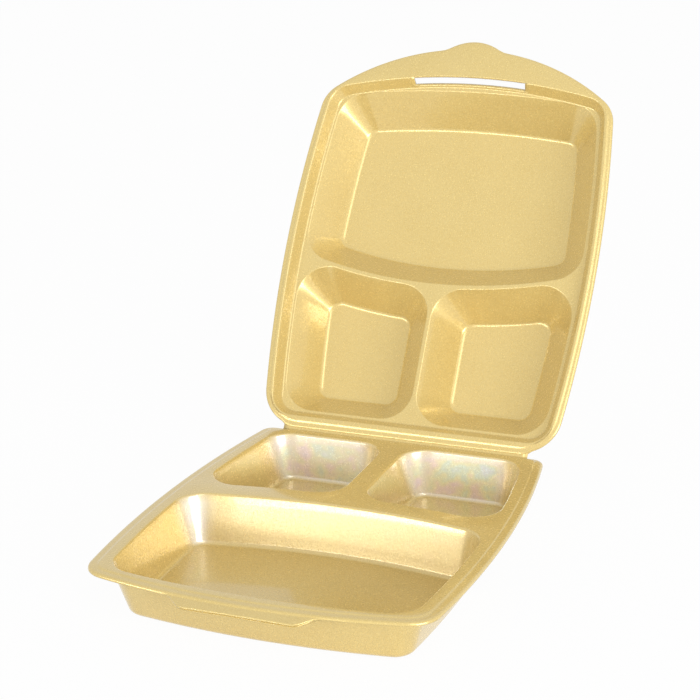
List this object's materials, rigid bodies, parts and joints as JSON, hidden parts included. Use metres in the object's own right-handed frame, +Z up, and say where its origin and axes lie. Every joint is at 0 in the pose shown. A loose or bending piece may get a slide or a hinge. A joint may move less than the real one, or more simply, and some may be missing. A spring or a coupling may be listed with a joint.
{
  "type": "hinged foam meal container",
  "caption": "Open foam clamshell meal box: shallow tray and matching lid with one wide and two small compartments each, joined by a fold, with a slotted front flap.",
  "frame": {"origin": "middle of the underside of the tray's large compartment, on the surface it stands on", "axes": "+Z up, -Y towards the front edge with the tongue, +Y towards the fold and the raised lid, +X to the right seen from the front"},
  "size_m": [0.2088, 0.4035, 0.2582],
  "materials": {
    "tray_foam": "glossy gold film on foam",
    "lid_foam": "glossy gold film on foam"
  },
  "bodies": {
    "base_tray": {"base_tray": "tray_foam"},
    "lid": {"lid": "lid_foam"}
  },
  "joints": [
    {"name": "lid_hinge", "type": "hinge", "parent": "base_tray", "child": "lid", "pos_m": [0, 0.1729, 0.03115], "axis": [-1, 0, 0], "range_deg": [-123, 57]}
  ]
}
